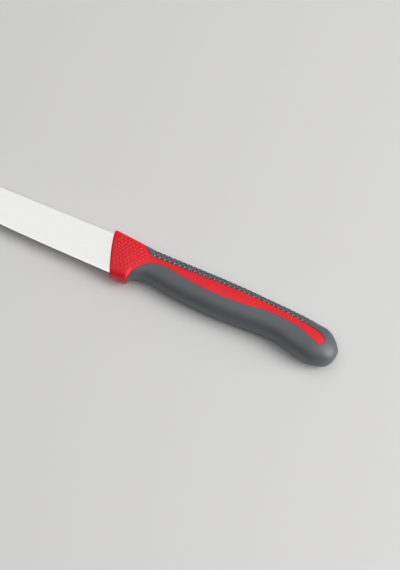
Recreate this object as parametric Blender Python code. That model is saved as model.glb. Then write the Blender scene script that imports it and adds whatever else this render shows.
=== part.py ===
"""Vegetable knife: a stamped blade with a hidden tang, a hard handle core moulded round the tang,
and a soft grip moulded over the core.

The knife lies on its side. The point is towards -X, the butt towards +X, the spine towards +Y.
Each piece is drawn from the bolster's front corner: x runs back from it, y up from the line of
the blade's spine, and z out from the blade's middle plane, all in metres.
At the end the whole knife is set down with its origin at the bottom centre of its box.
"""

import math

import bmesh
import bpy
from mathutils import Vector
from mathutils.geometry import interpolate_bezier

# Blade
BLADE_LENGTH = 0.120
HEEL_HEIGHT = 0.0188
EDGE_SLOPE = 0.020
EDGE_HEEL_REACH = 0.042
POINT_DROP = 0.0050
POINT_ANGLE = math.radians(56)
POINT_REACH = 0.013
SPINE_DROP_RUN = 0.034
POINT_HEIGHT = 0.0006

# Thickness of the blade, as ground from its flat sheet
SPINE_THICKNESS = 0.0015
SHOULDER_THICKNESS = 0.0007
POINT_THICKNESS = 0.0010
EDGE_THICKNESS = 0.0001
BEVEL_ANGLE = math.radians(17)
BLADE_CLEARANCE = 0.0003
HEEL_SEAT = 0.0036
HEEL_RISE = 0.0024

# Tang, hidden in the core
TANG_THICKNESS = 0.0014
TANG_LENGTH = 0.078
TANG_TAPER = 0.0006
TANG_CORNER = 0.0012
HOLE_EDGE = 0.0013
HOLE_INSET = 0.010
HOLE_SPACING = 0.028

# Handle, as runs from one station to the next along its length
GUARD_RUN = 0.0109
GUARD_HEEL_RUN = 0.0032
RECESS_RUN = 0.0085
SWELL_RUN = 0.0129
PALM_RUN = 0.0240
NECK_RUN = 0.0260
FLARE_RUN = 0.0130
BUTT_RUN = 0.0090
BUTT_ROUND = 0.0116

# Depth of the handle's underside below the spine line at each station
GUARD_LIP = 0.0019
GUARD_HEEL_DEPTH = 0.0177
RECESS_DEPTH = 0.0156
SWELL_DEPTH = 0.0175
PALM_DEPTH = 0.0190
NECK_DEPTH = 0.0182
FLARE_DEPTH = 0.0209
BUTT_DEPTH = 0.0228
END_DEPTH = 0.0132

# The handle's top against the spine line: the bolster stands above it, the rest lies below
BOLSTER_RISE = 0.0017
RECESS_DROP = 0.0004
PALM_DROP = 0.0008
NECK_DROP = 0.0020
FLARE_DROP = 0.0028
BUTT_DROP = 0.0040
BUTT_DROOP = 0.0044
BUTT_SAG = 0.0020

# Full thickness of the handle at each station
BOLSTER_THICKNESS = 0.0096
GUARD_THICKNESS = 0.0118
RECESS_THICKNESS = 0.0124
PALM_THICKNESS = 0.0152
NECK_THICKNESS = 0.0146
BUTT_THICKNESS = 0.0148

# How square the section is: 2 is an ellipse, and higher is boxier
BOLSTER_SQUARENESS = 3.2
GUARD_SQUARENESS = 3.0
GRIP_SQUARENESS = 2.35
END_SQUARENESS = 2.2

# The bolster's front leans back towards the edge, and the lean dies out along the handle
GUARD_LEAN = 0.0067
LEAN_CURVE = 1.38
LEAN_RUN = 0.022
BLADE_LEAN_RUN = 0.030
FRONT_ROUND = 0.0008

# The band of core that shows between the soft spine strip and the soft belly
STRIP_START = 0.0155
STRIP_START_RUN = 0.0048
STRIP_FRONT_HEIGHT = 0.0043
STRIP_WAIST_HEIGHT = 0.0046
STRIP_SWELL_HEIGHT = 0.0048
STRIP_PALM_HEIGHT = 0.0045
STRIP_NECK_HEIGHT = 0.0039
STRIP_FLARE_HEIGHT = 0.0046
STRIP_BUTT_HEIGHT = 0.0053
WAIST_RUN = 0.0069
BAND_RECESS = 0.0046
BAND_WAIST = 0.0028
BAND_SWELL = 0.0036
BAND_PALM = 0.0058
BAND_PALM_REACH = 0.0085
BAND_NECK = 0.0036
BAND_FLARE = 0.0035
BAND_BUTT = 0.0048
BAND_END_RADIUS = 0.0029
BAND_END_DEPTH = 0.0129
BAND_END_INSET = 0.0067
GRIP_FOOT_RUN = 0.0002
GRIP_LOW_RUN = 0.0010
GRIP_LOW_RISE = 0.0024
GRIP_FRONT_RUN = 0.0024
GRIP_FRONT_RISE = 0.0056

# Walls and fits
SPINE_WALL = 0.0020
BELLY_WALL = 0.0026
SIDE_WALL = 0.0018
BUTT_WALL = 0.0042
CORE_WALL = 0.0016
FIT_GAP = 0.0003

# Faceting
RING_POINTS = 28
SAMPLES = 6
ROUND_STEPS = 8
HOLE_POINTS = 16
SMOOTH_BELOW = math.radians(35)

STEEL = ((0.80, 0.80, 0.79), 0.28, 1.0)
RED_PLASTIC = ((0.78, 0.03, 0.03), 0.42, 0.0)
GREY_RUBBER = ((0.10, 0.115, 0.12), 0.62, 0.0)

GUARD_DEPTH = HEEL_HEIGHT + GUARD_LIP


def clear_scene():
    for old in list(bpy.data.objects):
        bpy.data.objects.remove(old, do_unlink=True)


def new_collection(name):
    made = bpy.data.collections.new(name)
    bpy.context.scene.collection.children.link(made)
    return made


def give_material(item, name, look):
    colour, roughness, metallic = look
    made = bpy.data.materials.new(name)
    made.use_nodes = True
    shader = made.node_tree.nodes["Principled BSDF"]
    shader.inputs["Base Color"].default_value = (*colour, 1.0)
    shader.inputs["Roughness"].default_value = roughness
    shader.inputs["Metallic"].default_value = metallic
    made.diffuse_color = (*colour, 1.0)
    item.data.materials.clear()
    item.data.materials.append(made)


# Handle form

def stations():
    """Distance of each station from the bolster's front, in order along the handle."""
    runs = {
        "guard": GUARD_RUN,
        "guard_heel": GUARD_HEEL_RUN,
        "recess": RECESS_RUN,
        "swell": SWELL_RUN,
        "palm": PALM_RUN,
        "neck": NECK_RUN,
        "flare": FLARE_RUN,
        "butt": BUTT_RUN,
        "end": BUTT_ROUND,
    }
    places = {}
    reached = 0.0
    for name, run in runs.items():
        reached += run
        places[name] = reached
    return places


def smooth_line(knots, at):
    """Height at one place on a smooth line through the knots, with no overshoot between them."""
    if at <= knots[0][0]:
        return knots[0][1]
    if at >= knots[-1][0]:
        return knots[-1][1]
    runs = [b[0] - a[0] for a, b in zip(knots, knots[1:])]
    slopes = [(b[1] - a[1]) / run for a, b, run in zip(knots, knots[1:], runs)]
    tangents = [slopes[0]]
    for before, after in zip(slopes, slopes[1:]):
        turning = before * after <= 0
        tangents.append(0.0 if turning else 2 * before * after / (before + after))
    tangents.append(slopes[-1])
    index = max(i for i, knot in enumerate(knots[:-1]) if knot[0] <= at)
    run = runs[index]
    t = (at - knots[index][0]) / run
    return (
        knots[index][1] * (2 * t**3 - 3 * t**2 + 1)
        + run * tangents[index] * (t**3 - 2 * t**2 + t)
        + knots[index + 1][1] * (3 * t**2 - 2 * t**3)
        + run * tangents[index + 1] * (t**3 - t**2)
    )


def top_line(at):
    place = stations()
    knots = [
        (0.0, BOLSTER_RISE),
        (place["recess"], -RECESS_DROP),
        (place["palm"], -PALM_DROP),
        (place["neck"], -NECK_DROP),
        (place["flare"], -FLARE_DROP),
        (place["butt"], -BUTT_DROP),
    ]
    return smooth_line(knots, at)


def bottom_line(at):
    place = stations()
    knots = [
        (0.0, -GUARD_DEPTH),
        (place["guard"], -GUARD_DEPTH),
        (place["guard_heel"], -GUARD_HEEL_DEPTH),
        (place["recess"], -RECESS_DEPTH),
        (place["swell"], -SWELL_DEPTH),
        (place["palm"], -PALM_DEPTH),
        (place["neck"], -NECK_DEPTH),
        (place["flare"], -FLARE_DEPTH),
        (place["butt"], -BUTT_DEPTH),
    ]
    return smooth_line(knots, at)


def half_thickness(at):
    place = stations()
    knots = [
        (0.0, BOLSTER_THICKNESS / 2),
        (place["guard"], GUARD_THICKNESS / 2),
        (place["recess"], RECESS_THICKNESS / 2),
        (place["palm"], PALM_THICKNESS / 2),
        (place["neck"], NECK_THICKNESS / 2),
        (place["butt"], BUTT_THICKNESS / 2),
    ]
    return smooth_line(knots, at)


def squareness(at, front):
    """Section exponent: boxy along the guard, then easing to the grip's oval by the recess."""
    place = stations()
    ease = (at - place["guard"]) / (place["recess"] - place["guard"])
    ease = min(1.0, max(0.0, ease))
    ease = ease * ease * (3 - 2 * ease)
    return front + (GRIP_SQUARENESS - front) * ease


def front_lean(y):
    """How far back the bolster's front lies at height y."""
    depth = max(0.0, BOLSTER_RISE - y) / (BOLSTER_RISE + GUARD_DEPTH)
    return GUARD_LEAN * depth**LEAN_CURVE


def signed_power(value, power):
    return math.copysign(abs(value) ** power, value)


def ring(at, top_in, bottom_in, side_in, scale=1.0):
    """One closed section of the handle, drawn in by a wall at its top, bottom and sides."""
    top = top_line(at) - top_in
    bottom = bottom_line(at) + bottom_in
    half = (half_thickness(at) - side_in) * scale
    top -= BUTT_DROOP * (1 - scale**2)
    bottom -= BUTT_SAG * (1 - scale**2)
    middle = (top + bottom) / 2
    middle += (-END_DEPTH - middle) * (1 - scale)
    tall = (top - bottom) / 2 * scale
    fade = max(0.0, 1 - at / LEAN_RUN)
    points = []
    for index in range(RING_POINTS):
        angle = 2 * math.pi * index / RING_POINTS
        front = BOLSTER_SQUARENESS if math.sin(angle) >= 0 else GUARD_SQUARENESS
        power = 2 / squareness(at, front)
        y = middle + tall * signed_power(math.sin(angle), power)
        z = half * signed_power(math.cos(angle), power)
        points.append((at + front_lean(y) * fade, y, z))
    return points


def ring_places(start):
    """Places of the handle's sections from a start to the butt, closer together at the guard."""
    place = stations()
    marks = [0.0, place["guard"], place["guard_heel"], place["recess"], place["swell"]]
    marks += [place["palm"], place["neck"], place["flare"], place["butt"]]
    steps = [4, 4, 4, 5, 6, 6, 4, 4]
    places = []
    for first, last, count in zip(marks, marks[1:], steps):
        places += [first + (last - first) * step / count for step in range(count)]
    places.append(place["butt"])
    return [start] + [at for at in places if at > start + FRONT_ROUND]


def handle_solid(name, start=0.0, top_in=0.0, bottom_in=0.0, side_in=0.0, butt_in=0.0):
    """A closed solid of the handle's form, drawn in by walls, from a place along it to the butt."""
    rings = []
    if start == 0.0:
        for turn in (0.0, math.pi / 4):
            inset = FRONT_ROUND * (1 - math.sin(turn))
            along = FRONT_ROUND * (1 - math.cos(turn))
            rings.append(ring(along, top_in + inset, bottom_in + inset, side_in + inset))
        start = FRONT_ROUND
    rings += [ring(at, top_in, bottom_in, side_in) for at in ring_places(start)]
    butt = stations()["butt"]
    round_length = BUTT_ROUND - butt_in
    for step in range(1, ROUND_STEPS):
        angle = math.pi / 2 * step / ROUND_STEPS
        at = butt + round_length * math.sin(angle) ** (2 / END_SQUARENESS)
        scale = math.cos(angle) ** (2 / END_SQUARENESS)
        rings.append(ring(at, top_in, bottom_in, side_in, scale))
    mesh = bmesh.new()
    loops = [[mesh.verts.new(point) for point in points] for points in rings]
    for near, far in zip(loops, loops[1:]):
        join_loops(mesh, near, far)
    close_front(mesh, loops[0])
    tip = mesh.verts.new((butt + round_length, -END_DEPTH, 0.0))
    for index in range(RING_POINTS):
        mesh.faces.new((loops[-1][index], loops[-1][(index + 1) % RING_POINTS], tip))
    return finished_mesh(name, mesh)


def join_loops(mesh, near, far):
    count = len(near)
    for index in range(count):
        after = (index + 1) % count
        mesh.faces.new((near[index], near[after], far[after], far[index]))


def close_front(mesh, loop):
    """Rungs across the section, from its top to its bottom, keep the leaning front true."""
    quarter = RING_POINTS // 4
    left = [loop[(quarter + step) % RING_POINTS] for step in range(2 * quarter + 1)]
    right = [loop[(quarter - step) % RING_POINTS] for step in range(2 * quarter + 1)]
    for step in range(2 * quarter):
        corners = [left[step], left[step + 1], right[step + 1], right[step]]
        mesh.faces.new(list(dict.fromkeys(corners)))


def finished_mesh(name, mesh):
    bmesh.ops.recalc_face_normals(mesh, faces=mesh.faces)
    data = bpy.data.meshes.new(name)
    mesh.to_mesh(data)
    mesh.free()
    return bpy.data.objects.new(name, data)


# Flat outlines

def smooth_path(points, steps):
    """Points along a smooth curve through the given ones, both ends included."""
    knots = [Vector(point) for point in points]
    knots = [2 * knots[0] - knots[1]] + knots + [2 * knots[-1] - knots[-2]]
    tangents = []
    for before, here, after in zip(knots, knots[1:], knots[2:]):
        back, ahead = (here - before).length, (after - here).length
        mixed = (here - before) / back * ahead + (after - here) / ahead * back
        tangents.append(mixed / (back + ahead))
    path = []
    for index, (start, end) in enumerate(zip(knots[1:-2], knots[2:-1])):
        reach = (end - start).length / 3
        handle_out = start + tangents[index] * reach
        handle_in = end - tangents[index + 1] * reach
        path += interpolate_bezier(start, handle_out, handle_in, end, steps + 1)[:-1]
    path.append(knots[-2])
    return [tuple(point) for point in path]


def grown(outline, by):
    """The closed outline moved outwards by a distance, corner by corner."""
    count = len(outline)
    pairs = zip(outline, outline[1:] + outline[:1])
    area = sum(a[0] * b[1] - b[0] * a[1] for a, b in pairs)
    turn = math.copysign(1.0, area)
    moved = []
    for index in range(count):
        here = Vector(outline[index])
        before = (here - Vector(outline[index - 1])).normalized()
        after = (Vector(outline[(index + 1) % count]) - here).normalized()
        normal_before = Vector((before.y, -before.x)) * turn
        normal_after = Vector((after.y, -after.x)) * turn
        mitre = (normal_before + normal_after).normalized()
        moved.append(tuple(here + mitre * by / mitre.dot(normal_after)))
    return moved


def circle(centre, radius):
    turns = [2 * math.pi * index / HOLE_POINTS for index in range(HOLE_POINTS)]
    return [(centre[0] + radius * math.cos(t), centre[1] + radius * math.sin(t)) for t in turns]


def plate(name, outlines, half_depth):
    """A flat filled outline, less any holes, given depth both ways from the middle plane."""
    curve = bpy.data.curves.new(name, "CURVE")
    curve.dimensions = "2D"
    curve.fill_mode = "BOTH"
    curve.extrude = half_depth
    for outline in outlines:
        spline = curve.splines.new("POLY")
        spline.points.add(len(outline) - 1)
        for point, (x, y) in zip(spline.points, outline):
            point.co = (x, y, 0.0, 1.0)
        spline.use_cyclic_u = True
    drawn = bpy.data.objects.new(name, curve)
    bpy.context.scene.collection.objects.link(drawn)
    depsgraph = bpy.context.evaluated_depsgraph_get()
    data = bpy.data.meshes.new_from_object(drawn.evaluated_get(depsgraph))
    mesh = bmesh.new()
    mesh.from_mesh(data)
    bmesh.ops.remove_doubles(mesh, verts=mesh.verts, dist=1e-6)
    mesh.to_mesh(data)
    mesh.free()
    solid = bpy.data.objects.new(name, data)
    solid.matrix_world = drawn.matrix_world
    bpy.data.objects.remove(drawn)
    return solid


def as_cutter(item, cutters):
    cutters.objects.link(item)
    item.hide_render = True
    item.display_type = "WIRE"
    return item


def boolean(item, other, operation):
    cut = item.modifiers.new(operation.lower() + "_" + other.name, "BOOLEAN")
    cut.operation = operation
    cut.solver = "EXACT"
    cut.object = other


def shade(item):
    item.data.shade_smooth()
    item.data.set_sharp_from_angle(angle=SMOOTH_BELOW)


# Blade

def edge_points():
    """The cutting edge in the side view, from the heel to the point."""
    heel = Vector((front_lean(-HEEL_HEIGHT), -HEEL_HEIGHT))
    point = Vector((-BLADE_LENGTH, -POINT_DROP - POINT_HEIGHT))
    along = Vector((-1.0, EDGE_SLOPE)).normalized()
    inward = Vector((math.cos(POINT_ANGLE), -math.sin(POINT_ANGLE)))
    handle_out = heel + along * EDGE_HEEL_REACH
    handle_in = point + inward * POINT_REACH
    return interpolate_bezier(heel, handle_out, handle_in, point, 3 * SAMPLES)


def spine_height(at):
    """The spine runs straight, then falls in a parabola to the point."""
    fall = max(0.0, (-at - BLADE_LENGTH + SPINE_DROP_RUN) / SPINE_DROP_RUN)
    return -POINT_DROP * fall**2


def side_half(at, y):
    """Half of the blade's thickness: each side is one flat plane, ground thinner both ways."""
    to_edge = (SPINE_THICKNESS - SHOULDER_THICKNESS) / 2 / HEEL_HEIGHT
    to_point = (SPINE_THICKNESS - POINT_THICKNESS) / 2 / BLADE_LENGTH
    return SPINE_THICKNESS / 2 + to_edge * y + to_point * at


def bevel_height(at, edge_y):
    """Height of the cutting bevel, up to where it meets the flat side."""
    steep = math.tan(BEVEL_ANGLE)
    to_edge = (SPINE_THICKNESS - SHOULDER_THICKNESS) / 2 / HEEL_HEIGHT
    return (side_half(at, edge_y) - EDGE_THICKNESS / 2) / (steep - to_edge)


def blade_section(edge_at, edge_y, grow):
    """One closed section of the blade, which leans with the bolster's front as it comes near."""
    heel_distance = front_lean(-HEEL_HEIGHT) - edge_at
    fade = max(0.0, 1 - heel_distance / BLADE_LEAN_RUN)
    top_y = spine_height(edge_at)
    shoulder_y = edge_y + bevel_height(edge_at, edge_y)
    rows = [top_y + (shoulder_y - top_y) * part for part in (0, 1 / 3, 2 / 3, 1)] + [edge_y]
    right = []
    for row, y in enumerate(rows):
        at = edge_at - BLADE_CLEARANCE - (front_lean(edge_y) - front_lean(y)) * fade
        half = EDGE_THICKNESS / 2 if row == len(rows) - 1 else side_half(at, y)
        lift = grow if row == 0 else -grow if row == len(rows) - 1 else 0.0
        right.append((at, y + lift, half + grow))
    return right + [(at, y, -z) for at, y, z in reversed(right)]


def seat_section(grow):
    """The blade's last section, full sheet thickness, hidden in the bolster."""
    foot = -HEEL_HEIGHT + HEEL_RISE
    rows = [foot * part for part in (0, 1 / 4, 2 / 4, 3 / 4, 1)]
    right = []
    for row, y in enumerate(rows):
        lift = grow if row == 0 else -grow if row == len(rows) - 1 else 0.0
        right.append((HEEL_SEAT + grow + front_lean(y), y + lift, SPINE_THICKNESS / 2 + grow))
    return right + [(at, y, -z) for at, y, z in reversed(right)]


def blade_solid(name, grow=0.0):
    sections = [seat_section(grow)]
    sections += [blade_section(point.x, point.y, grow) for point in edge_points()]
    mesh = bmesh.new()
    loops = [[mesh.verts.new(point) for point in points] for points in sections]
    for near, far in zip(loops, loops[1:]):
        join_loops(mesh, near, far)
    for loop in (loops[0], loops[-1]):
        for step in range(len(loop) // 2 - 1):
            mesh.faces.new((loop[step], loop[step + 1], loop[-2 - step], loop[-1 - step]))
    return finished_mesh(name, mesh)


def tang_span():
    """Top and bottom of the tang: what the recess leaves inside the grip and the core's walls."""
    top = -RECESS_DROP - SPINE_WALL - CORE_WALL
    bottom = -RECESS_DEPTH + BELLY_WALL + CORE_WALL
    return top, bottom


def tang_half(at):
    """Half of the tang's height, which tapers evenly to the tang's end."""
    top, bottom = tang_span()
    return (top - bottom) / 2 - TANG_TAPER * at / TANG_LENGTH


def tang_outline():
    middle = sum(tang_span()) / 2
    front = HEEL_SEAT / 2 + front_lean(middle - tang_half(0.0))
    shoulder = TANG_LENGTH - TANG_CORNER
    lower = [
        (front, middle - tang_half(front)),
        (shoulder, middle - tang_half(shoulder)),
        (TANG_LENGTH, middle - tang_half(TANG_LENGTH) + TANG_CORNER),
    ]
    return lower + [(at, 2 * middle - y) for at, y in reversed(lower)]


def tang_holes(clearance=0.0):
    """The keying holes, or with a clearance the pegs of core that fill them."""
    first = TANG_LENGTH - HOLE_INSET
    middle = sum(tang_span()) / 2
    return [
        circle((at, middle), tang_half(at) - HOLE_EDGE - clearance)
        for at in (first, first - HOLE_SPACING)
    ]


def make_blade(parts, cutters):
    blade = blade_solid("blade")
    parts.objects.link(blade)
    tang = plate("tang", [tang_outline()] + tang_holes(), TANG_THICKNESS / 2)
    boolean(blade, as_cutter(tang, cutters), "UNION")
    give_material(blade, "blade_steel", STEEL)
    shade(blade)
    return blade


# Core and grip

def band_outline():
    """Side view of the core where it shows: the bolster, and the band that runs to the butt."""
    place = stations()
    clear = GUARD_LEAN + GUARD_DEPTH
    strip_full = STRIP_START + STRIP_START_RUN
    waist = place["recess"] + WAIST_RUN

    strip_knots = [
        (strip_full, STRIP_FRONT_HEIGHT),
        (waist, STRIP_WAIST_HEIGHT),
        (place["swell"], STRIP_SWELL_HEIGHT),
        (place["palm"], STRIP_PALM_HEIGHT),
        (place["neck"], STRIP_NECK_HEIGHT),
        (place["flare"], STRIP_FLARE_HEIGHT),
        (place["butt"], STRIP_BUTT_HEIGHT),
    ]

    def under_strip(at):
        return top_line(at) - smooth_line(strip_knots, at)

    start = (STRIP_START, top_line(STRIP_START))
    upper = [(at, under_strip(at)) for at, height in strip_knots[:-1]]
    end_at = place["end"] - BAND_END_INSET - BAND_END_RADIUS
    turns = [math.radians(angle) for angle in (80, 35, -10, -55)]
    end = [
        (end_at + BAND_END_RADIUS * math.cos(t), -BAND_END_DEPTH + BAND_END_RADIUS * math.sin(t))
        for t in turns
    ]
    depths = [
        (place["butt"], BAND_BUTT),
        (place["flare"], BAND_FLARE),
        (place["neck"], BAND_NECK),
        (place["palm"] + BAND_PALM_REACH, BAND_PALM),
        (place["palm"] - BAND_PALM_REACH, BAND_PALM),
        (place["swell"], BAND_SWELL),
        (waist, BAND_WAIST),
        (place["recess"], BAND_RECESS),
    ]
    lower = [(at, under_strip(at) - depth) for at, depth in depths]
    foot_fade = 1 - place["guard"] / LEAN_RUN
    heel_x = place["guard"] + front_lean(-GUARD_DEPTH) * foot_fade
    foot = (heel_x + GRIP_FOOT_RUN, -GUARD_DEPTH)
    front = [
        (heel_x + GRIP_FRONT_RUN, -GUARD_DEPTH + GRIP_FRONT_RISE),
        (heel_x + GRIP_LOW_RUN, -GUARD_DEPTH + GRIP_LOW_RISE),
        foot,
    ]
    path = smooth_path([start] + upper + end + lower + front, SAMPLES)
    return [(-clear, clear), (STRIP_START, clear)] + path + [(foot[0], -clear), (-clear, -clear)]


def make_core(parts, cutters):
    core = handle_solid("handle_core")
    parts.objects.link(core)
    band = plate("band", [band_outline()], PALM_THICKNESS)
    inner = handle_solid(
        "inner",
        start=GUARD_RUN,
        top_in=SPINE_WALL + FIT_GAP,
        bottom_in=BELLY_WALL + FIT_GAP,
        side_in=SIDE_WALL + FIT_GAP,
        butt_in=BUTT_WALL + FIT_GAP,
    )
    slot_outline = [grown(tang_outline(), FIT_GAP)] + tang_holes(FIT_GAP)
    tang_slot = plate("tang_slot", slot_outline, TANG_THICKNESS / 2 + FIT_GAP)
    blade_slot = blade_solid("blade_slot", FIT_GAP)
    boolean(core, as_cutter(band, cutters), "INTERSECT")
    boolean(core, as_cutter(inner, cutters), "UNION")
    boolean(core, as_cutter(blade_slot, cutters), "DIFFERENCE")
    boolean(core, as_cutter(tang_slot, cutters), "DIFFERENCE")
    give_material(core, "red_plastic", RED_PLASTIC)
    shade(core)
    return core


def make_grip(parts, cutters):
    grip = handle_solid("soft_grip")
    parts.objects.link(grip)
    band_room = plate("band_room", [grown(band_outline(), FIT_GAP)], PALM_THICKNESS)
    inner_room = handle_solid(
        "inner_room",
        start=GUARD_RUN - FIT_GAP,
        top_in=SPINE_WALL,
        bottom_in=BELLY_WALL,
        side_in=SIDE_WALL,
        butt_in=BUTT_WALL,
    )
    boolean(grip, as_cutter(band_room, cutters), "DIFFERENCE")
    boolean(grip, as_cutter(inner_room, cutters), "DIFFERENCE")
    give_material(grip, "grey_rubber", GREY_RUBBER)
    shade(grip)
    return grip


def set_down(items, cutters):
    """Carry everything so that the origin is at the bottom centre of the knife's box."""
    depsgraph = bpy.context.evaluated_depsgraph_get()
    corners = [corner for item in items for corner in item.evaluated_get(depsgraph).bound_box]
    low = [min(corner[axis] for corner in corners) for axis in range(3)]
    high = [max(corner[axis] for corner in corners) for axis in range(3)]
    knife = bpy.data.objects.new("knife", None)
    items[0].users_collection[0].objects.link(knife)
    knife.location = (-(low[0] + high[0]) / 2, -(low[1] + high[1]) / 2, -low[2])
    for item in items + list(cutters.objects):
        item.parent = knife


def main():
    clear_scene()
    parts = new_collection("vegetable_knife")
    cutters = new_collection("cutters")
    blade = make_blade(parts, cutters)
    core = make_core(parts, cutters)
    grip = make_grip(parts, cutters)
    set_down([blade, core, grip], cutters)


main()
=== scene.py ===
# Vegetable knife lying on its side: steel blade, hard handle core and soft grip
import math
import bpy
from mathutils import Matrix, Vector
from mathutils.bvhtree import BVHTree
from mathutils.geometry import interpolate_bezier


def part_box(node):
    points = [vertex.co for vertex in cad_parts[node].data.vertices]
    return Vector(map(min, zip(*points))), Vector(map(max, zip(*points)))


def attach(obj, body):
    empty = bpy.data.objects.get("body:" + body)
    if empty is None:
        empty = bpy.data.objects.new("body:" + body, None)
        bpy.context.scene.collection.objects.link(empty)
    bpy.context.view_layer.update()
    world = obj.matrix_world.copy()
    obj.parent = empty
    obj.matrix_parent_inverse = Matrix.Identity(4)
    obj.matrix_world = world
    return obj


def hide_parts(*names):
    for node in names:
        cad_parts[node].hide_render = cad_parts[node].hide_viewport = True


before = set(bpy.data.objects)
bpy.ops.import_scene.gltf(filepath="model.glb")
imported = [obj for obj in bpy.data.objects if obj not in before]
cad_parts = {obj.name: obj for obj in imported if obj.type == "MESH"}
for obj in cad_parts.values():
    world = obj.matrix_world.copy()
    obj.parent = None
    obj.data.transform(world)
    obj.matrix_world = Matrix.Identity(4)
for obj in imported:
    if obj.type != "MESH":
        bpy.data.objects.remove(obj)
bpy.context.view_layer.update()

# Places are given in millimetres: x back from the bolster's front, y up from the line of the
# blade's spine, z out from the blade's middle plane
mm = 0.001
handleLength = 119.1
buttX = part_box("soft_grip")[1].x
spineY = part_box("blade")[1].y
coreLow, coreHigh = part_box("handle_core")
knifeStart = Vector((buttX - handleLength * mm, spineY, (coreLow.z + coreHigh.z) / 2))

tolerance = {
    "merge": 0.002 * mm,  # points closer than this are one
    "onMiddle": 1e-7,  # metres from the blade's middle plane
    "level": 0.01,  # two corners this alike are equally far from a diamond's middle
    "along": 0.01,  # millimetres that still count as on the strip
}


def place(x, y, z=0.0):
    return knifeStart + Vector((x, y, z)) * mm


# Helpers for working on one piece at a time
def clearSelection():
    if bpy.context.object and bpy.context.object.mode != "OBJECT":
        bpy.ops.object.mode_set(mode="OBJECT")
    bpy.ops.object.select_all(action="DESELECT")


def pickPiece(piece):
    clearSelection()
    piece.select_set(True)
    bpy.context.view_layer.objects.active = piece


def namePiece(name):
    piece = bpy.context.object
    piece.name = name
    piece.data.name = name
    return piece


def editPiece(piece, level):
    pickPiece(piece)
    bpy.ops.object.mode_set(mode="EDIT")
    bpy.ops.mesh.select_mode(type=level)


def doneEditing():
    bpy.ops.object.mode_set(mode="OBJECT")


def selectNothing(piece):
    mesh = piece.data
    for part in (mesh.vertices, mesh.edges, mesh.polygons):
        part.foreach_set("select", [False] * len(part))


def selectFaces(piece, test):
    selectNothing(piece)
    for face in piece.data.polygons:
        face.select = test(face)


# Select the open edges, which only one face has
def selectBorder(piece):
    counts = {}
    for face in piece.data.polygons:
        for key in face.edge_keys:
            counts[key] = counts.get(key, 0) + 1
    selectNothing(piece)
    for edge in piece.data.edges:
        edge.select = counts.get(tuple(sorted(edge.vertices))) == 1


# Cut, keep or join by another piece, applied to the mesh at once
def combine(piece, other, operation):
    pickPiece(piece)
    change = piece.modifiers.new(operation.lower(), "BOOLEAN")
    change.operation = operation
    change.solver = "EXACT"
    change.object = other
    bpy.ops.object.modifier_apply(modifier=change.name)
    bpy.data.objects.remove(other, do_unlink=True)


def smoothShade(piece, degrees):
    pickPiece(piece)
    bpy.ops.object.shade_smooth_by_angle(angle=math.radians(degrees))
    # large flat faces stay evenly lit up to their edges
    weights = piece.modifiers.new("weights", "WEIGHTED_NORMAL")
    weights.keep_sharp = True
    bpy.ops.object.modifier_apply(modifier=weights.name)


# Height at one place on a smooth line through the knots, with no overshoot between them
def easeLine(knots, at):
    if at <= knots[0][0]:
        return knots[0][1]
    if at >= knots[-1][0]:
        return knots[-1][1]
    runs = [b[0] - a[0] for a, b in zip(knots, knots[1:])]
    slopes = [(b[1] - a[1]) / run for a, b, run in zip(knots, knots[1:], runs)]
    leans = [slopes[0]]
    for before, after in zip(slopes, slopes[1:]):
        leans.append(0.0 if before * after <= 0 else 2 * before * after / (before + after))
    leans.append(slopes[-1])
    index = max(i for i, knot in enumerate(knots[:-1]) if knot[0] <= at)
    run = runs[index]
    t = (at - knots[index][0]) / run
    return (
        knots[index][1] * (2 * t**3 - 3 * t**2 + 1)
        + run * leans[index] * (t**3 - 2 * t**2 + t)
        + knots[index + 1][1] * (3 * t**2 - 2 * t**3)
        + run * leans[index + 1] * (t**3 - t**2)
    )


def smoothStep(value):
    value = min(1.0, max(0.0, value))
    return value * value * (3 - 2 * value)


def signedPower(value, power):
    return math.copysign(abs(value) ** power, value)


# Form of the handle, shared by the core and the grip
handle = {
    "topKnots": ((0, 1.7), (22.6, -0.4), (59.5, -0.8), (85.5, -2.0), (98.5, -2.8), (107.5, -4.0)),
    "bottomKnots": ((0, -20.7), (10.9, -20.7), (14.1, -17.7), (22.6, -15.6), (35.5, -17.5),
                    (59.5, -19.0), (85.5, -18.2), (98.5, -20.9), (107.5, -22.8)),
    "halfKnots": ((0, 4.8), (10.9, 5.9), (22.6, 6.2), (59.5, 7.6), (85.5, 7.3), (107.5, 7.4)),
    "guardAt": 10.9,
    "guardHeelAt": 14.1,
    "recessAt": 22.6,
    "buttAt": 107.5,
    "endDepth": 13.2,
    "buttDroop": 4.4,
    "buttSag": 2.0,
    "boxyTop": 3.2,  # section exponent: 2 is an ellipse, higher is boxier
    "boxyGuard": 3.0,
    "roundGrip": 2.35,
    "roundEnd": 2.2,
    "guardLean": 6.7,
    "leanCurve": 1.38,
    "leanRun": 22.0,
    "frontRound": 1.0,
    "frontSteps": 5,
    "buttSteps": 18,
    "sectionSamples": 160,
    "sideSteps": 46,  # faces from the top of a section to its bottom
    # sections between the marks along the handle; a fine body adds the knurl's own after the third
    "fineCounts": (15, 6, 12, 11),
    "plainCounts": (6, 3, 5, 30, 5),
}

# Knurled diamonds on the grip's spine strip
knurl = {
    "start": 20.96,
    "pitch": 2.53,  # along the spine
    "pitches": 32,
    "rowSpacing": 1.58,  # from a row to the staggered next one
    "cuts": 4,  # faces from a diamond's middle to its corner
    "stripSteps": 23,  # faces from the spine's middle to the strip's side
    "depth": 0.52,
    "flatTop": 0.25,
    "fadeRun": 0.6,
    "widestShare": 0.45,  # of the side, which the strip never passes
}


def topLine(at):
    return easeLine(handle["topKnots"], at)


def bottomLine(at):
    return easeLine(handle["bottomKnots"], at)


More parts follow.
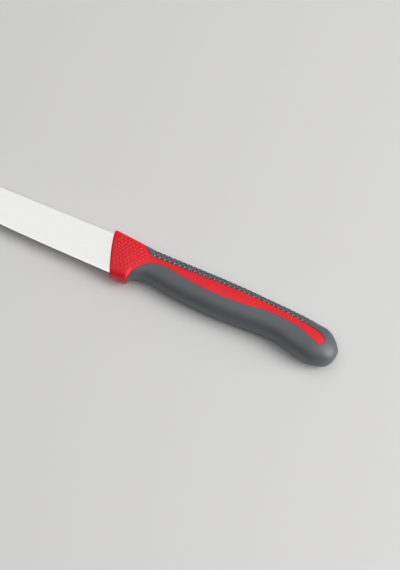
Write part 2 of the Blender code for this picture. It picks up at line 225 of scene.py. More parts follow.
# How far back the bolster's front lies at height y
def frontLean(y):
    top, bottom = handle["topKnots"][0][1], handle["bottomKnots"][0][1]
    depth = max(0.0, top - y) / (top - bottom)
    return handle["guardLean"] * depth ** handle["leanCurve"]


# Points down one side of the handle's section, with the arc length reached at each
def sectionPlaces(at, walls, scale):
    topWall, bottomWall, sideWall = walls
    top = topLine(at) - topWall - handle["buttDroop"] * (1 - scale**2)
    bottom = bottomLine(at) + bottomWall - handle["buttSag"] * (1 - scale**2)
    middle = (top + bottom) / 2
    middle += (-handle["endDepth"] - middle) * (1 - scale)
    tall = (top - bottom) / 2 * scale
    half = (easeLine(handle["halfKnots"], at) - sideWall) * scale
    ease = smoothStep((at - handle["guardAt"]) / (handle["recessAt"] - handle["guardAt"]))
    points = []
    reached = 0.0
    for step in range(handle["sectionSamples"] + 1):
        angle = math.pi * step / handle["sectionSamples"]
        front = handle["boxyTop"] if math.cos(angle) >= 0 else handle["boxyGuard"]
        power = 2 / (front + (handle["roundGrip"] - front) * ease)
        y = middle + tall * signedPower(math.cos(angle), power)
        z = half * abs(math.sin(angle)) ** power
        if points:
            reached += math.hypot(y - points[-1][1], z - points[-1][2])
        points.append((reached, y, z))
    return points


# How far a value is from the nearest even number
def foldDistance(value):
    return abs((value + 1) % 2 - 1)


# How far a place is from the nearest diamond's middle, which is 0, to its edge, which is 1
def diamondDistance(along, across):
    away = foldDistance(along) + foldDistance(across + 0.5)
    return min(away, 2 - away)


# How far the surface is cut in at a place on the spine strip, between rows of diamonds
def knurlDepth(at, arc):
    away = diamondDistance((at - knurl["start"]) / (knurl["pitch"] / 2), arc / knurl["rowSpacing"])
    end = knurl["start"] + knurl["pitch"] * knurl["pitches"]
    fade = min(1.0, max(0.0, min(at - knurl["start"], end - at) / knurl["fadeRun"]))
    slope = (away - knurl["flatTop"]) / (1 - knurl["flatTop"])
    return knurl["depth"] * max(0.0, slope) * fade


# The section's corners down one side, from the spine to the belly; knurledSide is 1 or -1 for
# the side that is cut, and 0 for a plain one
def sideOutline(at, walls=(0.0, 0.0, 0.0), scale=1.0, knurledSide=0):
    points = sectionPlaces(at, walls, scale)
    total = points[-1][0]
    stripSteps, steps = knurl["stripSteps"], handle["sideSteps"]
    stripArc = min(stripSteps * knurl["rowSpacing"] / knurl["cuts"], knurl["widestShare"] * total)
    arcs = [stripArc * step / stripSteps for step in range(stripSteps)]
    arcs += [
        stripArc + (total - stripArc) * step / (steps - stripSteps)
        for step in range(steps - stripSteps + 1)
    ]
    corners = []
    index = 0
    for arc in arcs:
        while index < len(points) - 2 and points[index + 1][0] < arc:
            index += 1
        near, far = points[index], points[index + 1]
        share = (arc - near[0]) / max(1e-9, far[0] - near[0])
        y = near[1] + (far[1] - near[1]) * share
        z = near[2] + (far[2] - near[2]) * share
        if knurledSide and arc <= stripArc + 1e-6:
            run = Vector((far[1] - near[1], far[2] - near[2])).normalized()
            depth = knurlDepth(at, knurledSide * arc)
            y -= run.y * depth
            z = max(0.0, z + run.x * depth)
        corners.append((y, z))
    corners[0] = (corners[0][0], 0.0)
    corners[-1] = (corners[-1][0], 0.0)
    return corners


# Each section's place, wall and scale along the handle, closest together on the knurl
def handleStations(start, buttWall, fine):
    stations = []
    if start == 0.0:
        for step in range(handle["frontSteps"]):
            turn = math.pi / 2 * step / handle["frontSteps"]
            inset = handle["frontRound"] * (1 - math.sin(turn))
            stations.append((handle["frontRound"] * (1 - math.cos(turn)), inset, 1.0))
        start = handle["frontRound"]
    knurlEnd = knurl["start"] + knurl["pitch"] * knurl["pitches"]
    marks = [start, handle["guardAt"], handle["guardHeelAt"]]
    marks += [knurl["start"], knurlEnd, handle["buttAt"]]
    counts = list(handle["plainCounts"])
    if fine:
        counts = list(handle["fineCounts"])
        counts.insert(3, knurl["pitches"] * knurl["cuts"] * 2)
    for first, last, count in zip(marks, marks[1:], counts):
        if last > first:
            run = last - first
            stations += [(first + run * step / count, 0.0, 1.0) for step in range(count)]
    roundLength = handleLength - handle["buttAt"] - buttWall
    for step in range(handle["buttSteps"] + 1):
        turn = math.pi / 2 * step / handle["buttSteps"]
        reached = math.sin(turn) ** (2 / handle["roundEnd"])
        scale = max(0.0, math.cos(turn)) ** (2 / handle["roundEnd"])
        stations.append((handle["buttAt"] + roundLength * reached, 0.0, scale))
    return stations


# A grid with a row for each section, wrapped round so that each row has the handle's form
def makeHandleBody(
    name, start=0.0, walls=(0.0, 0.0, 0.0), buttWall=0.0, fine=True, knurled=False, sunk=0.0
):
    stations = handleStations(start, buttWall, fine)
    around = 2 * handle["sideSteps"]
    clearSelection()
    rows = len(stations) - 1
    bpy.ops.mesh.primitive_grid_add(x_subdivisions=rows, y_subdivisions=around, size=2.0)
    body = namePiece(name)
    outlines = {1: [], -1: []}
    for at, inset, scale in stations:
        inset += sunk * smoothStep((at - band["stripStart"]) / band["sinkRun"])
        drawnIn = tuple(wall + inset for wall in walls)
        for side in outlines:
            outlines[side].append(sideOutline(at, drawnIn, scale, side if knurled else 0))
    if knurled:
        splitKnurl(body, stations)
    for vertex in body.data.vertices:
        ring, corner, side = gridSpot(vertex.co, len(stations))
        y, z = outlines[side][ring][corner]
        at = stations[ring][0]
        leanFade = max(0.0, 1 - at / handle["leanRun"])
        vertex.co = place(at + frontLean(y) * leanFade, y, side * z)
    closeBody(body)
    return body


# Close the butt to its pole, and the front with rungs from side to side
def closeBody(body):
    editPiece(body, "VERT")
    bpy.ops.mesh.select_all(action="SELECT")
    bpy.ops.mesh.remove_doubles(threshold=tolerance["merge"])
    doneEditing()
    points = body.data.vertices
    selectBorder(body)
    for edge in body.data.edges:
        heights = [abs(points[index].co.z - knifeStart.z) for index in edge.vertices]
        edge.select = edge.select and min(heights) >= tolerance["onMiddle"]
    editPiece(body, "EDGE")
    bpy.ops.mesh.bridge_edge_loops()
    bpy.ops.mesh.select_all(action="SELECT")
    bpy.ops.mesh.fill_holes(sides=4)
    bpy.ops.mesh.normals_make_consistent(inside=False)
    doneEditing()


# The section, the corner down its side and the side that a point of the plain grid stands for
def gridSpot(point, rings):
    around = 2 * handle["sideSteps"]
    ring = round((point.x + 1) / 2 * (rings - 1))
    corner = round((point.y + 1) / 2 * around)
    if corner <= around // 2:
        return ring, corner, 1
    return ring, around - corner, -1


# Split the strip's faces along lines of equal depth, so that each diamond has straight sides
def splitKnurl(body, stations):
    end = knurl["start"] + knurl["pitch"] * knurl["pitches"]
    spots = [gridSpot(vertex.co, len(stations)) for vertex in body.data.vertices]

    def pattern(spot):
        ring, corner, side = spot
        along = (stations[ring][0] - knurl["start"]) / (knurl["pitch"] / 2)
        return diamondDistance(along, side * corner / knurl["cuts"])

    def onStrip(spot):
        at, room = stations[spot[0]][0], tolerance["along"]
        return spot[1] <= knurl["stripSteps"] and knurl["start"] - room < at < end + room

    for method, first in (("FIXED", 0), ("FIXED_ALTERNATE", 1)):

        def alongDiamond(face):
            if len(face.vertices) != 4:
                return False
            corners = [spots[index] for index in face.vertices]
            if not all(onStrip(corner) for corner in corners):
                return False
            depths = [pattern(corner) for corner in corners]
            here, across = depths[first], depths[1 - first]
            level = abs(here - depths[first + 2]) < tolerance["level"]
            return level and (here > across or abs(across - depths[3 - first]) > tolerance["level"])

        selectFaces(body, alongDiamond)
        editPiece(body, "FACE")
        bpy.ops.mesh.quads_convert_to_tris(quad_method=method)
        doneEditing()


# Where the core shows: the bolster, and the band between the spine strip and the belly
band = {
    "stripStart": 15.5,
    "stripKnots": ((20.3, 4.3), (29.5, 4.6), (35.5, 4.8), (59.5, 4.5), (85.5, 3.9), (98.5, 4.6),
                   (107.5, 5.3)),
    "bandKnots": ((107.5, 4.8), (98.5, 3.5), (85.5, 3.6), (68, 5.8), (51, 5.8), (35.5, 3.6),
                  (29.5, 2.8), (22.6, 4.6)),
    "endRadius": 2.9,
    "endDepth": 12.9,
    "endInset": 6.7,
    "endTurns": (80, 35, -10, -55),  # degrees round the band's end
    "gripFoot": ((2.4, 5.6), (1.0, 2.4), (0.2, 0.0)),  # from the guard's lower rear corner
    "pathSteps": 10,
    "reach": 15.0,  # half depth of the cutting prism
    "clear": 30.0,  # where its outer corners lie, well outside the handle
    "parting": 0.10,  # half of the fine line between core and grip
    "sunk": 0.24,  # how far the band lies below the grip
    "sinkRun": 12.0,
}


# Points along a smooth curve through the given ones, both ends included
def smoothPath(knots, steps):
    points = [Vector(knot) for knot in knots]
    points = [2 * points[0] - points[1]] + points + [2 * points[-1] - points[-2]]
    leans = []
    for before, here, after in zip(points, points[1:], points[2:]):
        back, ahead = (here - before).length, (after - here).length
        mixed = (here - before) / back * ahead + (after - here) / ahead * back
        leans.append(mixed / (back + ahead))
    path = []
    for index, (start, end) in enumerate(zip(points[1:-2], points[2:-1])):
        reach = (end - start).length / 3
        out, into = start + leans[index] * reach, end - leans[index + 1] * reach
        path += interpolate_bezier(start, out, into, end, steps + 1)[:-1]
    path.append(points[-2])
    return [Vector((point.x, point.y)) for point in path]


# The line between core and grip in the side view, from the spine round to the guard
def bandPath():

    def underStrip(at):
        return topLine(at) - easeLine(band["stripKnots"], at)

    upper = [(band["stripStart"], topLine(band["stripStart"]))]
    upper += [(knot[0], underStrip(knot[0])) for knot in band["stripKnots"][:-1]]
    endAt = handleLength - band["endInset"] - band["endRadius"]
    end = []
    for turn in [math.radians(angle) for angle in band["endTurns"]]:
        run, rise = band["endRadius"] * math.cos(turn), band["endRadius"] * math.sin(turn)
        end.append((endAt + run, -band["endDepth"] + rise))
    lower = [(at, underStrip(at) - depth) for at, depth in band["bandKnots"]]
    guardBottom = handle["bottomKnots"][0][1]
    leanFade = 1 - handle["guardAt"] / handle["leanRun"]
    heelX = handle["guardAt"] + frontLean(guardBottom) * leanFade
    front = [(heelX + run, guardBottom + rise) for run, rise in band["gripFoot"]]
    return smoothPath(upper + end + lower + front, band["pathSteps"])


# The closed outline moved outwards by a distance, corner by corner
def movedOut(outline, by):
    count = len(outline)
    area = sum(a.x * b.y - b.x * a.y for a, b in zip(outline, outline[1:] + outline[:1]))
    turn = math.copysign(1.0, area)
    moved = []
    for index, here in enumerate(outline):
        before = (here - outline[index - 1]).normalized()
        after = (outline[(index + 1) % count] - here).normalized()
        normalBefore = Vector((before.y, -before.x)) * turn
        normalAfter = Vector((after.y, -after.x)) * turn
        mitre = (normalBefore + normalAfter).normalized()
        moved.append(here + mitre * by / mitre.dot(normalAfter))
    return moved


# A prism right through the handle where the core shows, from a circle set to its outline
def makeBandPrism(name, path, spread):
    clear = band["clear"]
    foot = path[-1]
    outline = [Vector((-clear, clear)), Vector((band["stripStart"], clear))] + path
    outline += [Vector((foot.x, -clear)), Vector((-clear, -clear))]
    outline = movedOut(outline, spread)
    return makePrism(name, outline, band["reach"])


def makePrism(name, outline, reach):
    clearSelection()
    bpy.ops.mesh.primitive_circle_add(vertices=len(outline), radius=1.0, fill_type="NGON")
    prism = namePiece(name)
    for vertex, corner in zip(prism.data.vertices, outline):
        vertex.co = place(corner.x, corner.y, -reach)
    editPiece(prism, "FACE")
    bpy.ops.mesh.select_all(action="SELECT")
    bpy.ops.mesh.extrude_region_move(TRANSFORM_OT_translate={"value": (0.0, 0.0, 2 * reach * mm)})
    bpy.ops.mesh.select_all(action="SELECT")
    bpy.ops.mesh.normals_make_consistent(inside=False)
    doneEditing()
    return prism


# Blade
blade = {
    "length": 120.0,
    "heelHeight": 18.8,
    "edgeSlope": 0.020,
    "edgeHeelReach": 42.0,
    "pointDrop": 5.0,
    "pointAngle": 56.0,
    "pointReach": 13.0,
    "spineDropRun": 34.0,
    "pointHeight": 0.6,
    "spineThickness": 1.5,
    "shoulderThickness": 0.7,
    "pointThickness": 1.0,
    "edgeThickness": 0.06,
    "bevelAngle": 17.0,
    "clearance": 0.3,
    "leanRun": 30.0,
    "seat": 3.6,
    "slotGap": 0.06,
    "slotBehind": 0.3,  # room behind the blade's end
    "slotAhead": 2.0,  # how far the slot's cutter passes the bolster's front
    "slotRows": 12,
    "creaseAngle": 33,
    "sections": 64,
    "rows": 8,
    "spineRound": 0.16,
    "roundRows": 3,
}


# The cutting edge in the side view, from the heel to the point
def edgeLine():
    heel = Vector((frontLean(-blade["heelHeight"]), -blade["heelHeight"]))
    point = Vector((-blade["length"], -blade["pointDrop"] - blade["pointHeight"]))
    along = Vector((-1.0, blade["edgeSlope"])).normalized()
    turn = math.radians(blade["pointAngle"])
    inward = Vector((math.cos(turn), -math.sin(turn)))
    out = heel + along * blade["edgeHeelReach"]
    into = point + inward * blade["pointReach"]
    places = interpolate_bezier(heel, out, into, point, blade["sections"])
    return [Vector((spot.x, spot.y)) for spot in places]


# Half of the blade's thickness: each side is one flat plane, ground thinner both ways
def sideHalf(at, y):
    toEdge = (blade["spineThickness"] - blade["shoulderThickness"]) / 2 / blade["heelHeight"]
    toPoint = (blade["spineThickness"] - blade["pointThickness"]) / 2 / blade["length"]
    return blade["spineThickness"] / 2 + toEdge * y + toPoint * at


# Places down one section of the blade's side, which leans with the bolster near the heel
def bladeColumn(edgeAt, edgeY):
    fall = max(0.0, (-edgeAt - blade["length"] + blade["spineDropRun"]) / blade["spineDropRun"])
    topY = -blade["pointDrop"] * fall**2
    steep = math.tan(math.radians(blade["bevelAngle"]))
    shoulderY = edgeY + (sideHalf(edgeAt, edgeY) - blade["edgeThickness"] / 2) / steep
    fade = max(0.0, 1 - (frontLean(-blade["heelHeight"]) - edgeAt) / blade["leanRun"])

    def leaning(y):
        return edgeAt - blade["clearance"] - (frontLean(edgeY) - frontLean(y)) * fade

    column = []
    corner = min(blade["spineRound"], (topY - shoulderY) / 2)
    for row in range(blade["roundRows"]):
        turn = math.pi / 2 * row / blade["roundRows"]
        y = topY - corner * (1 - math.cos(turn))
        at = leaning(y)
        column.append(place(at, y, sideHalf(at, y) - corner * (1 - math.sin(turn))))
    for row in range(blade["rows"]):
        y = topY - corner + (shoulderY - topY + corner) * row / (blade["rows"] - 1)
        at = leaning(y)
        column.append(place(at, y, sideHalf(at, y)))
    at = edgeAt - blade["clearance"]
    column.append(place(at, edgeY, blade["edgeThickness"] / 2))
    return column


# A grid shaped to one ground side, mirrored, and bridged all round to the other side
def makeBlade():
    columns = [bladeColumn(point.x, point.y) for point in edgeLine()]
    seatColumn = []
    for row, corner in enumerate(columns[0]):
        y = min((corner.y - knifeStart.y) / mm, 0.0)
        seatColumn.append(place(blade["seat"] + frontLean(y), y, (corner.z - knifeStart.z) / mm))
    columns = [seatColumn] + columns
    across, down = len(columns) - 1, len(columns[0]) - 1
    clearSelection()
    bpy.ops.mesh.primitive_grid_add(x_subdivisions=across, y_subdivisions=down, size=2.0)
    piece = namePiece("bladeSteel")
    for vertex in piece.data.vertices:
        column = round((vertex.co.x + 1) / 2 * across)
        row = round((vertex.co.y + 1) / 2 * down)
        vertex.co = columns[column][row]
    editPiece(piece, "FACE")
    bpy.ops.mesh.select_all(action="SELECT")
    bpy.ops.mesh.duplicate()
    bpy.ops.transform.mirror(
        orient_type="GLOBAL", constraint_axis=(False, False, True), center_override=knifeStart
    )
    doneEditing()
    selectBorder(piece)
    editPiece(piece, "EDGE")
    bpy.ops.mesh.bridge_edge_loops()
    bpy.ops.mesh.select_all(action="SELECT")
    # recalculated, the thin blade's faces all point inwards, so they are turned round
    bpy.ops.mesh.normals_make_consistent(inside=False)
    bpy.ops.mesh.flip_normals()
    doneEditing()
    smoothShade(piece, blade["creaseAngle"])
    print("blade made:", len(piece.data.polygons), "faces")
    return piece


# Studs on the bolster's sides
studs = {
    "pitch": 1.96,
    "rowSpacing": 1.68,
    "halfLength": 0.80,
    "halfHeight": 1.30,
    "stand": 0.20,
    "sink": 0.25,
    "bevel": 0.06,
    "aimFrom": 12.0,  # height from which a stud's place on the surface is looked for
    "searchReach": 24,  # how far from their centre places are tried
    "flatTop": 0.42,
    "frontMargin": 1.9,
    "topMargin": 2.0,
    "bottomAt": -16.6,
    "gripMargin": 1.7,
    "rearCentre": (10.3, -8.6),
    "rearRadius": 9.4,
}


# Centres of the studs in the side view: staggered rows, inside the bolster's panel
def studPlaces(path):
    centre = Vector(studs["rearCentre"])
    rows = int(studs["searchReach"] / studs["rowSpacing"])
    columns = int(studs["searchReach"] / studs["pitch"])
    found = []
    for row in range(-rows, rows + 1):
        for column in range(-columns, columns + 1):
            shift = 0.5 if row % 2 else 0.0
            spot = centre + Vector(((column + shift) * studs["pitch"], row * studs["rowSpacing"]))
            fade = max(0.0, 1 - spot.x / handle["leanRun"])
            front = frontLean(spot.y) * fade
            clearOfGrip = min((spot - corner).length for corner in path) > studs["gripMargin"]
            clearOfFront = spot.x > front + studs["frontMargin"]
            clearOfTop = spot.y < topLine(spot.x) - studs["topMargin"]
            clearOfRear = (spot - centre).length < studs["rearRadius"]
            aboveGuard = spot.y > studs["bottomAt"]
            if clearOfFront and clearOfTop and clearOfRear and aboveGuard and clearOfGrip:
                found.append(spot)
    return found


# One stud is modelled, and copied to its place on each side, turned to the surface there
def makeStuds(body, path):
    clearSelection()
    bpy.ops.mesh.primitive_cylinder_add(vertices=4, radius=1.0, depth=1.0)
    first = namePiece("stud")
    for vertex in first.data.vertices:
        up = vertex.co.z > 0
        share = studs["flatTop"] if up else 1.0
        onX = abs(vertex.co.x) > abs(vertex.co.y)
        reach = studs["halfLength"] if onX else studs["halfHeight"]
        direction = math.copysign(reach * share * mm, vertex.co.x if onX else vertex.co.y)
        height = (studs["stand"] if up else -studs["sink"]) * mm
        vertex.co = Vector((direction if onX else 0.0, 0.0 if onX else direction, height))
    editPiece(first, "EDGE")
    bpy.ops.mesh.select_all(action="SELECT")
    bpy.ops.mesh.bevel(offset=studs["bevel"] * mm, segments=1, affect="EDGES")
    bpy.ops.mesh.normals_make_consistent(inside=False)
    doneEditing()
    bpy.context.view_layer.update()
    surface = BVHTree.FromObject(body, bpy.context.evaluated_depsgraph_get())
    copies = []
    for spot in studPlaces(path):
        for side in (1, -1):
            aim = place(spot.x, spot.y, side * studs["aimFrom"])
            hit, normal = surface.ray_cast(aim, Vector((0.0, 0.0, -side)))[:2]
            copy = first.copy()
            copy.data = first.data.copy()
            bpy.context.scene.collection.objects.link(copy)
            along = (Vector((1.0, 0.0, 0.0)) - normal * normal.x).normalized()
            across = normal.cross(along)
            for vertex in copy.data.vertices:
                x, y, z = vertex.co
                vertex.co = hit + along * x + across * y + normal * z
            copies.append(copy)
    bpy.data.objects.remove(first, do_unlink=True)
    clearSelection()
    for copy in copies:
        copy.select_set(True)
    bpy.context.view_layer.objects.active = copies[0]
    bpy.ops.object.join()
    print("studs made:", len(copies))
    return namePiece("studs")


# Walls hidden between core and grip, and the angles in degrees past which edges stay sharp
inside = {
    "start": 10.9,
    "walls": (2.0, 2.6, 1.8),  # spine, belly, side
    "buttWall": 4.2,
    "gap": 0.1,
    "coreCrease": 32,
    "gripCrease": 22,
}


# The whole handle kept where the band shows, joined to the body hidden inside the grip
def makeCore(path):
    core = makeHandleBody("corePlastic", sunk=band["sunk"])
    bumps = makeStuds(core, path)
    combine(core, makeBandPrism("bandPrism", path, -band["parting"]), "INTERSECT")
    gap = inside["gap"]
    walls = tuple(wall + gap for wall in inside["walls"])
    buttWall = inside["buttWall"] + gap
    hidden = makeHandleBody("hiddenCore", inside["start"], walls, buttWall, fine=False)
    combine(core, hidden, "UNION")
    combine(core, bumps, "UNION")
    combine(core, makeBladeSlot(), "DIFFERENCE")
    smoothShade(core, inside["coreCrease"])
    print("core made:", len(core.data.polygons), "faces")
    return core


def makeBladeSlot():
    gap = blade["slotGap"]
    reach = blade["spineThickness"] / 2 + gap
    rows = blade["slotRows"]
    heights = [gap - (blade["heelHeight"] + 2 * gap) * row / rows for row in range(rows + 1)]
    back = [Vector((blade["seat"] + blade["slotBehind"] + frontLean(y), y)) for y in heights]
    front = [Vector((-blade["slotAhead"], y)) for y in (heights[-1], heights[0])]
    return makePrism("bladeSlot", back + front, reach)


# The whole handle less the room for the core, with the knurl cut along the spine
def makeGrip(path):
    grip = makeHandleBody("gripRubber", knurled=True)
    combine(grip, makeBandPrism("bandRoom", path, band["parting"]), "DIFFERENCE")
    gap = inside["gap"]
    start, walls, buttWall = inside["start"] - gap, inside["walls"], inside["buttWall"]
    room = makeHandleBody("coreRoom", start, walls, buttWall, fine=False)
    combine(grip, room, "DIFFERENCE")
    smoothShade(grip, inside["gripCrease"])
    print("grip made:", len(grip.data.polygons), "faces")
    return grip


# Materials
# A socket that takes part in ordinary sums: each operator adds its Math node
class Wire:
    def __init__(self, tree, socket):
        self.tree = tree
        self.socket = socket

    def math(self, operation, *values):
        return self.tree.node("ShaderNodeMath", {"operation": operation}, list(values))

    def __add__(self, other):
        return self.math("ADD", self, other)

    def __radd__(self, other):
        return self.math("ADD", other, self)

    def __sub__(self, other):
        return self.math("SUBTRACT", self, other)

    def __rsub__(self, other):
        return self.math("SUBTRACT", other, self)

    def __mul__(self, other):
        return self.math("MULTIPLY", self, other)

    def __rmul__(self, other):
        return self.math("MULTIPLY", other, self)


# A node tree with one method that adds any node, by its type, settings and sockets
class NodeBoard:
    def __init__(self, tree):
        self.nodes = tree.nodes
        self.links = tree.links

    def node(self, kind, settings=None, values=None, output=0):
        made = self.nodes.new(kind)
        for name, value in (settings or {}).items():
            setattr(made, name, value)
        pairs = values.items() if isinstance(values, dict) else enumerate(values or [])
        for name, value in pairs:
            self.feed(made.inputs[name], value)
        return Wire(self, made.outputs[output])

    def feed(self, socket, value):
        if isinstance(value, Wire):
            self.links.new(value.socket, socket)
        elif hasattr(socket.default_value, "__len__") and len(socket.default_value) == 4:
            socket.default_value = (*value, 1.0) if len(value) == 3 else value
        else:
            socket.default_value = value


# A material with its Principled shader, whose sockets are set by name, with _ for a space
class Finish(NodeBoard):
    def __init__(self, name):
        self.material = bpy.data.materials.new(name)
        self.material.use_nodes = True
        super().__init__(self.material.node_tree)
        self.shader = self.nodes["Principled BSDF"]

    def set(self, **values):
        for name, value in values.items():
            self.feed(self.shader.inputs[name.replace("_", " ")], value)

    # Object coordinates, stretched for a pattern
    def place(self, scale=(1.0, 1.0, 1.0)):
        coordinates = self.node("ShaderNodeTexCoord", output="Object")
        return self.node("ShaderNodeMapping", None, {"Vector": coordinates, "Scale": scale})

    # Cloudy noise whose cells are about the given size in millimetres
    def noise(self, vector, size, detail=2.0):
        values = {"Vector": vector, "Scale": 1 / (size * mm), "Detail": detail, "Roughness": 0.5}
        return self.node("ShaderNodeTexNoise", None, values)

    def mix(self, factor, first, second):
        # a Mix node's colour sockets share their names with others, so they go by number
        values = {0: factor, 6: first, 7: second}
        return self.node("ShaderNodeMix", {"data_type": "RGBA"}, values, output=2)

    def bump(self, height, strength, distance):
        values = {"Strength": strength, "Distance": distance * mm, "Height": height}
        return self.node("ShaderNodeBump", None, values)

    def giveTo(self, piece):
        piece.data.materials.clear()
        piece.data.materials.append(self.material)


steelLook = {
    "colour": (0.80, 0.80, 0.79),
    "paleColour": (0.86, 0.86, 0.855),
    "roughness": 0.26,
    "brushLength": 14.0,
    "brushWidth": 0.12,
    "cloudSize": 22.0,
    "lineShare": 0.6,  # of the change of colour, and the clouds make the rest
    "cloudShare": 0.4,
    "lineRoughness": 0.12,
    "cloudRoughness": 0.08,
    "bumpStrength": 0.12,
    "bumpHeight": 0.02,
}


def makeSteel(look):
    steel = Finish("brushedSteel")
    along = steel.place(scale=(look["brushWidth"] / look["brushLength"], 1.0, 1.0))
    lines = steel.noise(along, look["brushWidth"], detail=3.0)
    clouds = steel.noise(steel.place(), look["cloudSize"])
    paleness = lines * look["lineShare"] + clouds * look["cloudShare"]
    colour = steel.mix(paleness, look["colour"], look["paleColour"])
    roughness = look["roughness"] + (lines - 0.5) * look["lineRoughness"]
    roughness = roughness + (clouds - 0.5) * look["cloudRoughness"]
    normal = steel.bump(lines, look["bumpStrength"], look["bumpHeight"])
    steel.set(Base_Color=colour, Metallic=1.0, Roughness=roughness, Normal=normal)
    return steel


redLook = {
    "colour": (0.75, 0.003, 0.012),
    "paleColour": (0.81, 0.006, 0.018),
    "roughness": 0.42,
    "cloudSize": 9.0,
    "grainSize": 0.35,
    "cloudRoughness": 0.10,
    "grainRoughness": 0.10,
    "bumpStrength": 0.10,
    "bumpHeight": 0.03,
}


def makeRed(look):
    red = Finish("redPlastic")
    clouds = red.noise(red.place(), look["cloudSize"], detail=3.0)
    grain = red.noise(red.place(), look["grainSize"])
    colour = red.mix(clouds, look["colour"], look["paleColour"])
    roughness = look["roughness"] + (clouds - 0.5) * look["cloudRoughness"]
    roughness = roughness + (grain - 0.5) * look["grainRoughness"]
    normal = red.bump(grain, look["bumpStrength"], look["bumpHeight"])
    red.set(Base_Color=colour, Roughness=roughness, Normal=normal)
    return red


rubberLook = {
    "colour": (0.074, 0.086, 0.096),
    "paleColour": (0.094, 0.108, 0.119),
    "specular": 0.65,
    "roughness": 0.45,
    "cloudSize": 7.0,
    "grainSize": 0.25,
    "cloudShare": 0.5,  # of the change of colour, and the grain makes the rest
    "grainShare": 0.5,
    "cloudRoughness": 0.08,
    "grainRoughness": 0.12,
    "bumpStrength": 0.22,
    "bumpHeight": 0.04,
}


def makeRubber(look):
    rubber = Finish("greyRubber")
    clouds = rubber.noise(rubber.place(), look["cloudSize"], detail=3.0)
    grain = rubber.noise(rubber.place(), look["grainSize"])
    paleness = clouds * look["cloudShare"] + grain * look["grainShare"]
    colour = rubber.mix(paleness, look["colour"], look["paleColour"])
    roughness = look["roughness"] + (clouds - 0.5) * look["cloudRoughness"]
    roughness = roughness + (grain - 0.5) * look["grainRoughness"]
    normal = rubber.bump(grain, look["bumpStrength"], look["bumpHeight"])
    rubber.set(Base_Color=colour, Roughness=roughness, Normal=normal)
    rubber.set(Specular_IOR_Level=look["specular"])
    return rubber


# Camera, at the photograph's angle
cameraView = {
    "elevation": 66.0,
    "azimuth": 24.15,  # turn from -Y towards +X
    "distance": 5.0,
    "pixelSize": 0.465 * mm,  # at the knife
    "pictureWidth": 400,
    "pictureHeight": 570,
    "spinePixel": (112.0, 233.0),  # where the spine meets the bolster
    "spineAhead": 1.3,  # that point, ahead of the bolster's front corner
    "sensor": 36.0,
    "seesTo": 20.0,
}


def makeCamera(view):
    turn, rise = math.radians(view["azimuth"]), math.radians(view["elevation"])
    level = math.cos(rise)
    back = Vector((math.sin(turn) * level, -math.cos(turn) * level, math.sin(rise)))
    right = Vector((math.cos(turn), math.sin(turn), 0.0))
    up = back.cross(right)
    across = (view["pictureWidth"] / 2 - view["spinePixel"][0]) * view["pixelSize"]
    down = (view["pictureHeight"] / 2 - view["spinePixel"][1]) * view["pixelSize"]
    aim = place(-view["spineAhead"], 0.0) + right * across - up * down
    bpy.ops.object.camera_add(location=aim + back * view["distance"])
    camera = bpy.context.object
    camera.name = "photoCamera"
    camera.rotation_euler = back.to_track_quat("Z", "Y").to_euler()
    camera.data.sensor_width = view["sensor"]
    pictureSize = view["pictureHeight"] * view["pixelSize"]
    camera.data.lens = view["sensor"] * view["distance"] / pictureSize
    camera.data.clip_end = view["seesTo"]
    bpy.context.scene.camera = camera
    print("camera ready")


# Floor, studio light and background
studio = {
    "floorSize": 6.0,
    "floorColour": (0.70, 0.695, 0.69),
    "floorRoughness": 0.9,
    "skyColour": (1.0, 1.0, 1.0),
    "skyStrength": 0.035,
    "seenStrength": 0.7,
    "ringStrength": 0.45,
    # how high the ring begins and is full, and again fades and ends, as shares of straight up
    "ringRise": (0.34, 0.57),
    "ringFall": (0.70, 0.85),
    # direction towards the lamp, its distance, width and height, and power
    "lamps": {
        "ceilingLamp": ((0.0, 0.0, 1.0), 2.5, (3.5, 3.5), 39.0),
        "buttLamp": ((1.0, 0.14, 0.48), 1.6, (0.9, 2.0), 34.0),
        "frontLamp": ((0.0, -0.32, 1.0), 1.3, (0.7, 0.7), 0.3),
        "spineLamp": ((0.0, 1.0, 0.5), 1.5, (0.9, 0.9), 1.1),
    },
}


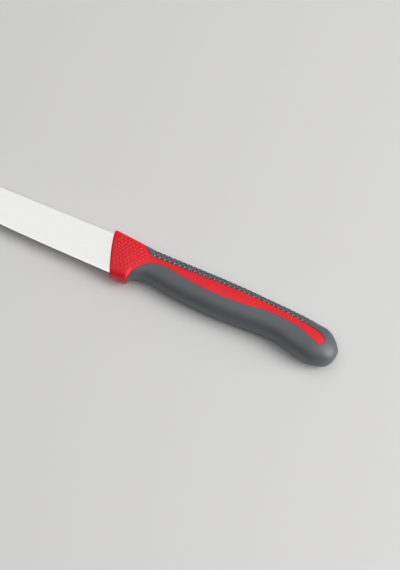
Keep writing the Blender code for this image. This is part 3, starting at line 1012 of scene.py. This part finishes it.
def makeLamp(name, aim, distance, size, power):
    towards = Vector(aim).normalized()
    bpy.ops.object.light_add(type="AREA", location=towards * distance)
    lamp = bpy.context.object
    lamp.name = name
    lamp.rotation_euler = towards.to_track_quat("Z", "Y").to_euler()
    lamp.data.shape = "RECTANGLE"
    lamp.data.size, lamp.data.size_y = size
    lamp.data.energy = power
    lamp.visible_camera = False


# A faint even light, which the camera sees paler, and where reflections see a ring round the room
def makeSky(look):
    sky = bpy.data.worlds.new("studioSky")
    sky.use_nodes = True
    board = NodeBoard(sky.node_tree)
    direction = board.node("ShaderNodeTexCoord")
    height = board.node("ShaderNodeSeparateXYZ", None, [direction], output="Z")

    def step(marks):
        values = {"Value": height, "From Min": marks[0], "From Max": marks[1]}
        return board.node("ShaderNodeMapRange", {"interpolation_type": "SMOOTHSTEP"}, values)

    ring = (step(look["ringRise"]) - step(look["ringFall"])) * look["ringStrength"]
    seen = board.node("ShaderNodeLightPath", output="Is Camera Ray")
    mirrored = board.node("ShaderNodeLightPath", output="Is Glossy Ray")
    strength = look["skyStrength"] + seen * look["seenStrength"] + mirrored * ring
    board.feed(board.nodes["Background"].inputs["Color"], look["skyColour"])
    board.feed(board.nodes["Background"].inputs["Strength"], strength)
    bpy.context.scene.world = sky


def makeStudio(look):
    bpy.ops.mesh.primitive_plane_add(size=look["floorSize"])
    floor = namePiece("floor")
    paint = Finish("floorPaint")
    paint.set(Base_Color=look["floorColour"], Roughness=look["floorRoughness"])
    paint.giveTo(floor)
    makeSky(look)
    for name, (aim, distance, size, power) in look["lamps"].items():
        makeLamp(name, aim, distance, size, power)
    print("studio ready")


clearSelection()
makeCamera(cameraView)
makeStudio(studio)
bpy.context.scene.view_settings.view_transform = "Standard"

partingPath = bandPath()
steelBlade = makeBlade()
hardCore = makeCore(partingPath)
softGrip = makeGrip(partingPath)
makeSteel(steelLook).giveTo(steelBlade)
makeRed(redLook).giveTo(hardCore)
makeRubber(rubberLook).giveTo(softGrip)
print("finishes given")

pieces = (
    (steelBlade, "blade", "steel"),
    (hardCore, "handle_core", "hard_plastic"),
    (softGrip, "soft_grip", "soft_rubber"),
)
for piece, node, slot in pieces:
    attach(piece, "root")
    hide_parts(node)
